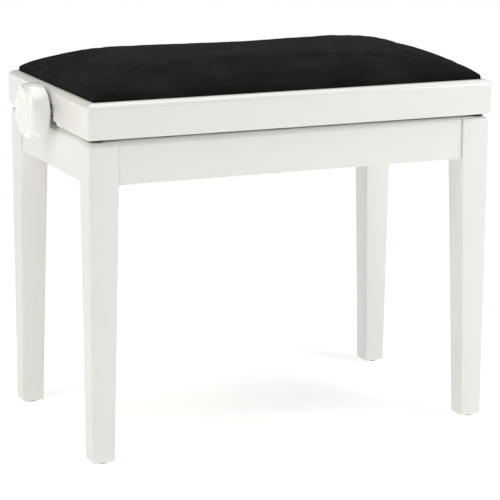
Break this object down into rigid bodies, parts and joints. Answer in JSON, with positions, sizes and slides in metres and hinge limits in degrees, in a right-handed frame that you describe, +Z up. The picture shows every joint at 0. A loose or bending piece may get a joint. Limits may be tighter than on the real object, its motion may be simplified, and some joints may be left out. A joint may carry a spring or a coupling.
{
  "type": "piano bench",
  "caption": "White wooden piano bench with a black velvet seat that rises on crossed steel arms, driven by a side knob",
  "frame": {"origin": "on the floor under the middle of the bench", "axes": "+X along the bench towards the right knob, +Y from the front to the back, +Z up"},
  "size_m": [0.62, 0.32, 0.486],
  "materials": {
    "white_paint": "white satin lacquer on wood",
    "white_gloss": "white gloss",
    "bare_wood": "plain wood, sanded",
    "black_velvet": "short-pile velvet",
    "foam": "open-cell foam",
    "glide": "moulded nylon",
    "black_rubber": "soft pad",
    "zinc_steel": "zinc plated",
    "black_steel": "black powder coat",
    "pin_steel": "dark oiled steel",
    "brass": "machined",
    "nylon": "natural nylon"
  },
  "bodies": {
    "base": {"leg_front_left": "white_paint", "leg_front_right": "white_paint", "leg_back_right": "white_paint", "leg_back_left": "white_paint", "glide_front_left": "glide", "glide_front_right": "glide", "glide_back_right": "glide", "glide_back_left": "glide", "corner_brace_front_left": "bare_wood", "corner_brace_front_right": "bare_wood", "corner_brace_back_right": "bare_wood", "corner_brace_back_left": "bare_wood", "leg_bolt_front_left": "zinc_steel", "leg_bolt_front_right": "zinc_steel", "leg_bolt_back_right": "zinc_steel", "leg_bolt_back_left": "zinc_steel", "apron_front": "white_paint", "apron_right": "white_paint", "apron_back": "white_paint", "apron_left": "white_paint", "base_angle_front": "black_steel", "base_angle_back": "black_steel", "spindle_bracket_left": "black_steel", "spindle_bracket_right": "black_steel", "bushing_left": "brass", "bushing_right": "brass", "pivot_rod": "zinc_steel"},
    "seat": {"seat_rail_front": "white_paint", "seat_rail_right": "white_paint", "seat_rail_back": "white_paint", "seat_rail_left": "white_paint", "bumper_front_left": "black_rubber", "bumper_front_right": "black_rubber", "bumper_back_right": "black_rubber", "bumper_back_left": "black_rubber", "seat_board": "bare_wood", "seat_foam": "foam", "seat_cover": "black_velvet", "seat_angle_front": "black_steel", "seat_angle_back": "black_steel", "seat_pin_front": "pin_steel", "seat_pin_back": "pin_steel"},
    "outer_arms": {"outer_arm_front": "zinc_steel", "outer_arm_back": "zinc_steel", "centre_pin_front": "pin_steel", "centre_pin_back": "pin_steel", "slide_pin_front": "pin_steel", "slide_pin_back": "pin_steel"},
    "inner_arms": {"inner_arm_front": "zinc_steel", "inner_arm_back": "zinc_steel"},
    "spindle": {"spindle": "zinc_steel", "knob_left": "white_gloss", "knob_right": "white_gloss", "collar_left": "pin_steel", "collar_right": "pin_steel"},
    "crosshead": {"crosshead": "black_steel", "drive_nut": "brass", "drive_rod": "zinc_steel", "rod_roller_front": "nylon", "rod_roller_back": "nylon"}
  },
  "joints": [
    {"name": "seat_lift", "type": "slide", "parent": "base", "child": "seat", "axis": [0, 0, 1], "range_m": [0, 0.1]},
    {"name": "outer_arm_swing", "type": "hinge", "parent": "base", "child": "outer_arms", "pos_m": [-0.209, 0, 0.382], "axis": [0, -1, 0], "range_deg": [0, 14.02]},
    {"name": "inner_arm_swing", "type": "hinge", "parent": "outer_arms", "child": "inner_arms", "pos_m": [0, 0, 0.402], "axis": [0, 1, 0], "range_deg": [0, 28.04]},
    {"name": "nut_slide", "type": "slide", "parent": "base", "child": "crosshead", "axis": [-1, 0, 0], "range_m": [0, 0.0222]},
    {"name": "spindle_spin", "type": "hinge", "parent": "base", "child": "spindle", "pos_m": [0, 0, 0.421], "axis": [1, 0, 0], "range_deg": [0, 2660]}
  ],
  "couplings": [
    {"joint": "outer_arm_swing", "follows": "seat_lift", "rad_per_m": 2.4451},
    {"joint": "inner_arm_swing", "follows": "seat_lift", "rad_per_m": 4.8902},
    {"joint": "nut_slide", "follows": "seat_lift", "ratio": 0.22116},
    {"joint": "spindle_spin", "follows": "seat_lift", "rad_per_m": 463.2}
  ]
}
